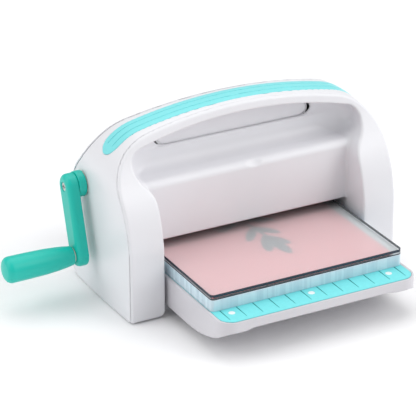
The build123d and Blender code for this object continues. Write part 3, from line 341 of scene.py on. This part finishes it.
def tray(x, y, z):
    """Platform: a board with a rim, and side skirts whose lower edges curve up to its ends."""
    mid_y = (TRAY_LOW[1] + TRAY_HIGH[1]) / 2
    half_length = TRAY_HIGH[1] - mid_y
    plan = rounded_plan(x, y, TRAY_HALF_W, TRAY_LOW[1], TRAY_HIGH[1], TRAY_CORNER_R)
    board = round_max(plan, TRAY_UNDER_Z - z, 0.8)
    hem_r = (HEM_LENGTH ** 2 + HEM_RISE ** 2) / (2 * HEM_RISE)
    out = np.clip(np.abs(y - mid_y) - half_length + HEM_LENGTH, 0, HEM_LENGTH)
    side_hem = TRAY_LOW[2] + hem_r - np.sqrt(hem_r ** 2 - out ** 2)
    end_hem = TRAY_UNDER_Z - LIP_DROP * smooth_step((np.abs(x) - LIP_DROP_X) / 8.0)
    to_side = smooth_step(1 + (np.abs(x) - TRAY_HALF_W) / TRAY_CORNER_R)
    hem = end_hem + to_side * (side_hem - end_hem)
    skirt = round_max(np.maximum(plan, -(plan + SKIRT_W)), (hem - z) * 0.9, 0.7)
    body = round_max(np.minimum(board, skirt), z - TRAY_HIGH[2], 1.1)
    seat = rounded_plan(x, y, TRAY_HALF_W - MAT_INSET, MAT_LOW[1] - MAT_GAP, MAT_HIGH[1] + MAT_GAP,
                        TRAY_CORNER_R - MAT_INSET)
    seat = np.maximum(seat, MAT_LOW[2] - z)
    return np.maximum(body, -seat)


# ---------------------------------------------------------------- meshing


def slopes(field, co, step=0.02):
    """Gradient of a field at points."""
    out = np.empty_like(co)
    for axis in range(3):
        ahead, behind = co.copy(), co.copy()
        ahead[:, axis] += step
        behind[:, axis] -= step
        out[:, axis] = (field(*ahead.T) - field(*behind.T)) / (2 * step)
    return out


def settle(field, co, reach, rounds=3):
    """Moves points onto a field's surface."""
    for _ in range(rounds):
        g = slopes(field, co)
        step = field(*co.T) / np.maximum((g ** 2).sum(1), 0.25)
        co = co - np.clip(step, -reach, reach)[:, None] * g
    return co


def surface_net(field, low, high, cell):
    """Points and quads of a field's surface: one point in each cell that the surface passes through."""
    axes = [np.arange(a - 2 * cell, b + 2.5 * cell, cell) for a, b in zip(low, high)]
    value = field(*np.meshgrid(*axes, indexing="ij"))
    shape = value.shape
    quads, points = [], []
    for axis in range(3):
        others = [a for a in range(3) if a != axis]
        count = shape[axis]
        a = np.take(value, range(count - 1), axis)
        b = np.take(value, range(1, count), axis)
        crossed = (a < 0) != (b < 0)
        at = np.argwhere(crossed)
        place = at.astype(float)
        place[:, axis] += a[crossed] / (a[crossed] - b[crossed])
        ring = []
        for back in ((0, 0), (1, 0), (1, 1), (0, 1)):
            cell_at = at.copy()
            cell_at[:, others[0]] -= back[0]
            cell_at[:, others[1]] -= back[1]
            ring.append(np.ravel_multi_index(cell_at.T, shape))
        ring = np.stack(ring, 1)
        flipped = (a[crossed] >= 0) != (axis == 1)
        ring[flipped] = ring[flipped][:, ::-1]
        quads.append(ring)
        points.append(np.repeat(place[:, None], 4, 1))
    quads = np.concatenate(quads)
    points = np.concatenate(points).reshape(-1, 3)
    corner = np.unique(quads.ravel(), return_inverse=True)[1]
    total = np.bincount(corner)
    co = np.stack([np.bincount(corner, points[:, k]) / total for k in range(3)], 1)
    co = co * cell + np.array([a[0] for a in axes])
    return co, corner.reshape(-1, 4)


def as_mesh(name, co, faces):
    mesh = bpy.data.meshes.new(name)
    mesh.from_pydata((co * MM).tolist(), [], faces.tolist())
    return mesh


def field_piece(name, field, node, cell, keep=0.5):
    """A piece meshed from a field in a CAD node's box, thinned where it is flat, shaded by the field."""
    low, high = node_box(node)
    co, quads = surface_net(field, low, high, cell)
    co = settle(field, co, cell / 2)
    piece = bpy.data.objects.new(name, as_mesh(name, co, quads))
    bpy.context.scene.collection.objects.link(piece)
    thin = piece.modifiers.new("thin", "DECIMATE")
    thin.ratio = keep
    evaluated = piece.evaluated_get(bpy.context.evaluated_depsgraph_get())
    mesh = bpy.data.meshes.new_from_object(evaluated)
    piece.modifiers.clear()
    piece.data = mesh
    co = np.empty(len(mesh.vertices) * 3)
    mesh.vertices.foreach_get("co", co)
    co = settle(field, co.reshape(-1, 3) / MM, cell / 3, 2)
    co = np.clip(co, np.array(low), np.array(high))
    mesh.vertices.foreach_set("co", (co * MM).ravel())
    mesh.update()
    normals = slopes(field, co, 0.05)
    normals /= np.maximum(np.linalg.norm(normals, axis=1), 1e-9)[:, None]
    facing = np.empty(len(mesh.vertices) * 3)
    mesh.vertex_normals.foreach_get("vector", facing)
    facing = facing.reshape(-1, 3)
    astray = (normals * facing).sum(1) < 0.5
    normals[astray] = facing[astray]
    mesh.shade_smooth()
    mesh.normals_split_custom_set_from_vertices(normals.tolist())
    mesh.update()
    return piece


def plate_piece(name, low, high, corner_r, edge_r, segments=8):
    """A flat plate with rounded corners and finely rounded edges; its rim has material slot 1."""
    mesh = bpy.data.meshes.new(name)
    bm = bmesh.new()
    ring = []
    for sx, sy, start in ((1, 1, 0), (-1, 1, 90), (-1, -1, 180), (1, -1, 270)):
        cx = (high[0] if sx > 0 else low[0]) - sx * corner_r
        cy = (high[1] if sy > 0 else low[1]) - sy * corner_r
        for i in range(segments + 1):
            turn = math.radians(start + 90 * i / segments)
            ring.append((cx + corner_r * math.cos(turn), cy + corner_r * math.sin(turn)))
    base = bm.faces.new([bm.verts.new((x * MM, y * MM, low[2] * MM)) for x, y in ring])
    raised = bmesh.ops.extrude_face_region(bm, geom=[base])
    top = [v for v in raised["geom"] if isinstance(v, bmesh.types.BMVert)]
    bmesh.ops.translate(bm, verts=top, vec=(0, 0, (high[2] - low[2]) * MM))
    bmesh.ops.recalc_face_normals(bm, faces=bm.faces)
    rims = [e for e in bm.edges if abs(e.verts[0].co.z - e.verts[1].co.z) < 1e-7]
    bmesh.ops.bevel(bm, geom=rims, offset=edge_r * MM, segments=3, profile=0.5, affect="EDGES",
                    clamp_overlap=True)
    bm.normal_update()
    for face in bm.faces:
        face.smooth = abs(face.normal.z) < 0.99
        face.material_index = 1 if abs(face.normal.z) < 0.5 else 0
    bm.to_mesh(mesh)
    bm.free()
    piece = bpy.data.objects.new(name, mesh)
    bpy.context.scene.collection.objects.link(piece)
    return piece


# ---------------------------------------------------------------- materials


def srgb(r, g, b):
    """Linear colour from 8-bit display values."""
    return [((c / 255 + 0.055) / 1.055) ** 2.4 if c > 10 else c / 255 / 12.92 for c in (r, g, b)]


class Nodes:
    """Short-hand for wiring one material."""

    def __init__(self, name):
        self.material = bpy.data.materials.new(name)
        self.material.use_nodes = True
        self.tree = self.material.node_tree
        self.shader = self.tree.nodes["Principled BSDF"]
        self.place = self.add("ShaderNodeTexCoord").outputs["Object"]

    def add(self, kind, **settings):
        node = self.tree.nodes.new(kind)
        for key, value in settings.items():
            setattr(node, key, value)
        return node

    def link(self, a, b):
        self.tree.links.new(a, b)

    def noise(self, scale, detail=3.0, roughness=0.5, stretch=(1, 1, 1)):
        """Noise in metres of the row frame."""
        mapping = self.add("ShaderNodeMapping")
        mapping.inputs["Scale"].default_value = stretch
        self.link(self.place, mapping.inputs["Vector"])
        noise = self.add("ShaderNodeTexNoise")
        noise.inputs["Scale"].default_value = scale
        noise.inputs["Detail"].default_value = detail
        noise.inputs["Roughness"].default_value = roughness
        self.link(mapping.outputs["Vector"], noise.inputs["Vector"])
        return noise.outputs["Fac"]

    def ramp(self, value, low, high, start=0.35, end=0.65):
        """A value or a colour between two ends."""
        ramp = self.add("ShaderNodeMapRange")
        ramp.inputs["From Min"].default_value = start
        ramp.inputs["From Max"].default_value = end
        ramp.inputs["To Min"].default_value = low
        ramp.inputs["To Max"].default_value = high
        self.link(value, ramp.inputs["Value"])
        return ramp.outputs["Result"]

    def tint(self, value, low, high, start=0.35, end=0.65):
        mix = self.add("ShaderNodeMix", data_type="RGBA")
        mix.inputs["A"].default_value = (*low, 1)
        mix.inputs["B"].default_value = (*high, 1)
        self.link(self.ramp(value, 0, 1, start, end), mix.inputs["Factor"])
        return mix.outputs["Result"]

    def bump(self, value, strength, distance):
        bump = self.add("ShaderNodeBump")
        bump.inputs["Strength"].default_value = strength
        bump.inputs["Distance"].default_value = distance
        self.link(value, bump.inputs["Height"])
        self.link(bump.outputs["Normal"], self.shader.inputs["Normal"])

    def constants(self, **values):
        for key, value in values.items():
            self.shader.inputs[key.replace("_", " ")].default_value = value


def shade(colour, factor):
    return [c * factor for c in colour]


def moulded(name, colour, rough=(0.30, 0.36), grain=2600.0, depth=0.00002, drift=0.03, ior=1.5):
    """Moulded plastic: a faint spark-eroded grain, uneven gloss and a slight drift of colour."""
    n = Nodes(name)
    broad = n.noise(14.0, 2.0)
    n.link(n.tint(broad, shade(colour, 1 - drift), colour), n.shader.inputs["Base Color"])
    n.link(n.ramp(n.noise(60.0, 4.0), *rough), n.shader.inputs["Roughness"])
    n.bump(n.noise(grain, 2.0), 0.25, depth)
    n.constants(IOR=ior)
    return n.material


def metal(name, colour, rough=(0.22, 0.38), stretch=(1, 60, 60), scale=40.0, depth=0.00001):
    """Ground metal with fine lines along one direction."""
    n = Nodes(name)
    lines = n.noise(scale, 5.0, 0.6, stretch)
    n.link(n.tint(lines, shade(colour, 0.86), colour), n.shader.inputs["Base Color"])
    n.link(n.ramp(lines, *rough), n.shader.inputs["Roughness"])
    n.bump(lines, 0.3, depth)
    n.constants(Metallic=1.0)
    return n.material


def rubber(name, colour):
    """Dull rubber with a dusty bloom."""
    n = Nodes(name)
    n.link(n.tint(n.noise(220.0, 4.0), colour, shade(colour, 1.7)), n.shader.inputs["Base Color"])
    n.link(n.ramp(n.noise(90.0, 3.0), 0.72, 0.88), n.shader.inputs["Roughness"])
    n.bump(n.noise(3200.0, 2.0), 0.4, 0.00003)
    return n.material


def paper(name, colour):
    """Smooth card with faint fibres."""
    n = Nodes(name)
    fibres = n.noise(900.0, 5.0, 0.7, (1, 0.35, 1))
    n.link(n.tint(fibres, shade(colour, 0.97), colour), n.shader.inputs["Base Color"])
    n.link(n.ramp(fibres, 0.62, 0.74), n.shader.inputs["Roughness"])
    n.bump(fibres, 0.15, 0.00001)
    return n.material


# ruled ticks of the mat, metres
TICK_PITCH, TICK_FIRST, TICK_HALF_W = 0.0125, 0.00625, 0.00045
TICK_BACK_Y, TICK_FRONT_Y = -0.1089, -0.1235


def ruled_mat(name, colour, line):
    """Soft mat with ruled ticks on its front strip."""
    n = Nodes(name)
    split = n.add("ShaderNodeSeparateXYZ")
    n.link(n.place, split.inputs["Vector"])

    def maths(operation, a, b):
        node = n.add("ShaderNodeMath", operation=operation)
        for socket, value in zip(node.inputs, (a, b)):
            if isinstance(value, (int, float)):
                socket.default_value = value
            else:
                n.link(value, socket)
        return node.outputs[0]

    from_tick = maths("PINGPONG", maths("ADD", split.outputs["X"], TICK_FIRST), TICK_PITCH / 2)
    on_line = maths("LESS_THAN", from_tick, TICK_HALF_W)
    in_front = maths("LESS_THAN", split.outputs["Y"], TICK_BACK_Y)
    behind_rim = maths("GREATER_THAN", split.outputs["Y"], TICK_FRONT_Y)
    fade = n.ramp(split.outputs["Y"], 0.25, 0.9, TICK_FRONT_Y, -0.1115)
    mask = maths("MULTIPLY", maths("MULTIPLY", on_line, fade), maths("MULTIPLY", in_front, behind_rim))
    speckle = n.tint(n.noise(420.0, 3.0), shade(colour, 0.96), colour)
    mix = n.add("ShaderNodeMix", data_type="RGBA")
    n.link(mask, mix.inputs["Factor"])
    n.link(speckle, mix.inputs["A"])
    mix.inputs["B"].default_value = (*line, 1)
    n.link(mix.outputs["Result"], n.shader.inputs["Base Color"])
    n.link(n.ramp(n.noise(80.0, 3.0), 0.5, 0.6), n.shader.inputs["Roughness"])
    n.bump(n.noise(2400.0, 2.0), 0.3, 0.00002)
    return n.material


def sawn_edge(name, colour, streak):
    """Rim of a thick plate: fine upright streaks left by the mould."""
    n = Nodes(name)
    streaks = n.noise(160.0, 4.0, 0.6, (1, 1, 0.02))
    n.link(n.tint(streaks, streak, colour), n.shader.inputs["Base Color"])
    n.link(n.ramp(streaks, 0.2, 0.34), n.shader.inputs["Roughness"])
    n.bump(streaks, 0.2, 0.00003)
    return n.material


SHEET_IOR = 1.58          # polycarbonate


def clear_sheet(name, tint):
    """Clear polycarbonate: see-through, with the gloss of both faces and faint knife scratches."""
    n = Nodes(name)
    scratches = n.noise(700.0, 6.0, 0.75, (1, 0.08, 1))
    n.link(n.ramp(scratches, 0.04, 0.12), n.shader.inputs["Roughness"])
    n.bump(scratches, 0.05, 0.00001)
    n.constants(Base_Color=(*tint, 1), IOR=SHEET_IOR)
    clear = n.add("ShaderNodeBsdfTransparent")
    clear.inputs["Color"].default_value = (0.985, 0.99, 0.99, 1)
    facing = n.add("ShaderNodeFresnel")
    facing.inputs["IOR"].default_value = SHEET_IOR
    mix = n.add("ShaderNodeMixShader")
    n.link(n.ramp(facing.outputs["Fac"], 0.02, 0.6, 0.05, 0.6), mix.inputs["Fac"])
    n.link(clear.outputs["BSDF"], mix.inputs[1])
    n.link(n.shader.outputs["BSDF"], mix.inputs[2])
    n.link(mix.outputs["Shader"], n.tree.nodes["Material Output"].inputs["Surface"])
    return n.material


WHITE = srgb(232, 232, 236)
TEAL = srgb(10, 196, 180)
AQUA = srgb(132, 228, 232)
MAT_AQUA = srgb(122, 226, 230)

looks = {
    "shell_white": moulded("shell_white", WHITE),
    "tray_white": moulded("tray_white", srgb(210, 208, 213)),
    "inlay_aqua": moulded("inlay_aqua", AQUA, rough=(0.28, 0.34)),
    "base_grey": moulded("base_grey", srgb(205, 206, 210), rough=(0.5, 0.62), grain=1500, depth=0.00005),
    "rubber_dark": rubber("rubber_dark", [0.012, 0.012, 0.014]),
    "plated_steel": metal("plated_steel", [0.60, 0.61, 0.63]),
    "screw_zinc": metal("screw_zinc", [0.66, 0.66, 0.64], stretch=(1, 1, 1), scale=900),
    "bush_bronze": metal("bush_bronze", [0.55, 0.36, 0.16], stretch=(1, 1, 1), scale=700),
    "slide_natural": moulded("slide_natural", srgb(236, 234, 224), rough=(0.42, 0.5)),
    "gear_steel": metal("gear_steel", [0.36, 0.37, 0.39], stretch=(1, 1, 1), scale=800),
    "crank_teal": moulded("crank_teal", TEAL, rough=(0.34, 0.42), drift=0.05),
    "mat_aqua": ruled_mat("mat_aqua", MAT_AQUA, srgb(24, 150, 152)),
    "mark_white": moulded("mark_white", srgb(238, 240, 240), rough=(0.5, 0.6)),
    "spacer_top": moulded("spacer_top", srgb(222, 232, 238), rough=(0.15, 0.25)),
    "spacer_rim": sawn_edge("spacer_rim", srgb(205, 226, 235), srgb(190, 212, 224)),
    "pad_clear": clear_sheet("pad_clear", srgb(235, 240, 242)),
    # the pads' rims are painted dark navy: painted shade standing for how the edges of the clear sheets look
    # dark, not a colour of their own
    "pad_rim_painted_dark": moulded("pad_rim_painted_dark", srgb(28, 44, 62), rough=(0.12, 0.2), drift=0.3),
    "card_pink": paper("card_pink", srgb(246, 134, 140)),
    "die_steel": metal("die_steel", [0.16, 0.165, 0.18], stretch=(1, 14, 1), scale=120, rough=(0.3, 0.45)),
}


def paint(piece, *names):
    """Gives a piece its materials, by name."""
    if piece.data.materials:
        piece.data.materials.clear()
    for name in names:
        piece.data.materials.append(looks[name])


# ---------------------------------------------------------------- pieces of the casing, crank and platform

record_slots = {s["node"]: s["material_slot"] for s in frame["record"]["subparts"]}

FIELD_PIECES = [
    # name, field, CAD node, cell, share of faces kept, material, body
    ("front_shell", front_cover, "front_cover", 0.9, 0.45, "shell_white", "casing"),
    ("rear_shell", rear_cover, "rear_cover", 0.9, 0.45, "shell_white", "casing"),
    ("band_shell", band, "centre_band", 0.9, 0.45, "shell_white", "casing"),
    ("inlay_strip", inlay, "handle_inlay", 0.5, 0.5, "inlay_aqua", "casing"),
    ("hub_moulding", hub, "crank_hub", 0.6, 0.6, "crank_teal", "crank"),
    ("arm_moulding", arm, "crank_arm", 0.6, 0.6, "crank_teal", "crank"),
    ("grip_moulding", grip, "crank_grip", 0.6, 0.6, "crank_teal", "grip"),
    ("platform_moulding", tray, "platform_tray", 0.9, 0.3, "tray_white", "platform"),
]

for name, field, node, cell, keep, look, body in FIELD_PIECES:
    piece = field_piece(name, field, node, cell, keep)
    paint(piece, look)
    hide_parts(node)
    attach(piece, body)

PLATE_PIECES = [
    # name, CAD node, corner radius, edge radius, face material, rim material
    ("spacer_block", "spacer_plate", 3.0, 0.3, "spacer_top", "spacer_rim"),
    # the pads' rim material is painted shade: the edges of the clear sheets painted dark navy
    ("lower_pad_sheet", "lower_cutting_pad", 3.0, 0.25, "pad_clear", "pad_rim_painted_dark"),
    ("upper_pad_sheet", "upper_cutting_pad", 3.0, 0.3, "pad_clear", "pad_rim_painted_dark"),
]

for name, node, corner_r, edge_r, face_look, rim_look in PLATE_PIECES:
    low, high = node_box(node)
    piece = plate_piece(name, low, high, corner_r, edge_r)
    paint(piece, face_look, rim_look)
    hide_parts(node)
    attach(piece, "platform")

# ---------------------------------------------------------------- CAD nodes that stay

for name, node in frame["nodes"].items():
    if not node.hide_render:
        paint(node, record_slots[name])

# ---------------------------------------------------------------- floor, lights and camera


def floor():
    bpy.ops.mesh.primitive_plane_add(size=9.0)
    plane = bpy.context.object
    plane.name = "floor"
    n = Nodes("floor_paper")
    n.link(n.tint(n.noise(3.0, 2.0), srgb(246, 246, 248), srgb(250, 250, 251)), n.shader.inputs["Base Color"])
    n.constants(Roughness=0.9)
    plane.data.materials.append(n.material)


def soft_light(name, azimuth, elevation, width, strength, colour=(1, 1, 1)):
    """Wide, distant soft light; azimuth 0 is in front of the machine, 90 is on its right. Degrees."""
    a, e = math.radians(azimuth), math.radians(elevation)
    towards = Vector((math.sin(a) * math.cos(e), -math.cos(a) * math.cos(e), math.sin(e)))
    data = bpy.data.lights.new(name, "SUN")
    data.angle = math.radians(width)
    data.energy = strength
    data.color = colour
    lamp = bpy.data.objects.new(name, data)
    lamp.rotation_euler = towards.to_track_quat("Z", "Y").to_euler()
    bpy.context.scene.collection.objects.link(lamp)


def sky(strength):
    world = bpy.data.worlds.new("studio")
    world.use_nodes = True
    world.node_tree.nodes["Background"].inputs["Color"].default_value = (1, 1, 1, 1)
    world.node_tree.nodes["Background"].inputs["Strength"].default_value = strength
    bpy.context.scene.world = world


def camera(place, azimuth, elevation, roll, lens):
    """Camera that looks back along the given direction, azimuth 0 being along +Y."""
    a, e, r = (math.radians(angle) for angle in (azimuth, elevation, roll))
    back = Vector((math.sin(a) * math.cos(e), -math.cos(a) * math.cos(e), math.sin(e)))
    right = Vector((math.cos(a), math.sin(a), 0))
    up = back.cross(right)
    tilted_right = math.cos(r) * right + math.sin(r) * up
    tilted_up = math.cos(r) * up - math.sin(r) * right
    data = bpy.data.cameras.new("view")
    data.sensor_width = 36
    data.lens = lens
    eye = bpy.data.objects.new("view", data)
    turn = Matrix((tilted_right, tilted_up, back)).transposed()
    eye.matrix_world = Matrix.Translation(place) @ turn.to_4x4()
    bpy.context.scene.collection.objects.link(eye)
    bpy.context.scene.camera = eye


floor()
sky(0.44)
soft_light("key", 55, 32, 50, 1.5)
soft_light("left", -104, 34, 50, 0.95)
soft_light("overhead", 160, 76, 60, 1.1)
camera((-0.7426, -1.3676, 0.7773), -27.86, 25.18, -0.29, 207.7)
bpy.context.scene.view_settings.view_transform = "Standard"
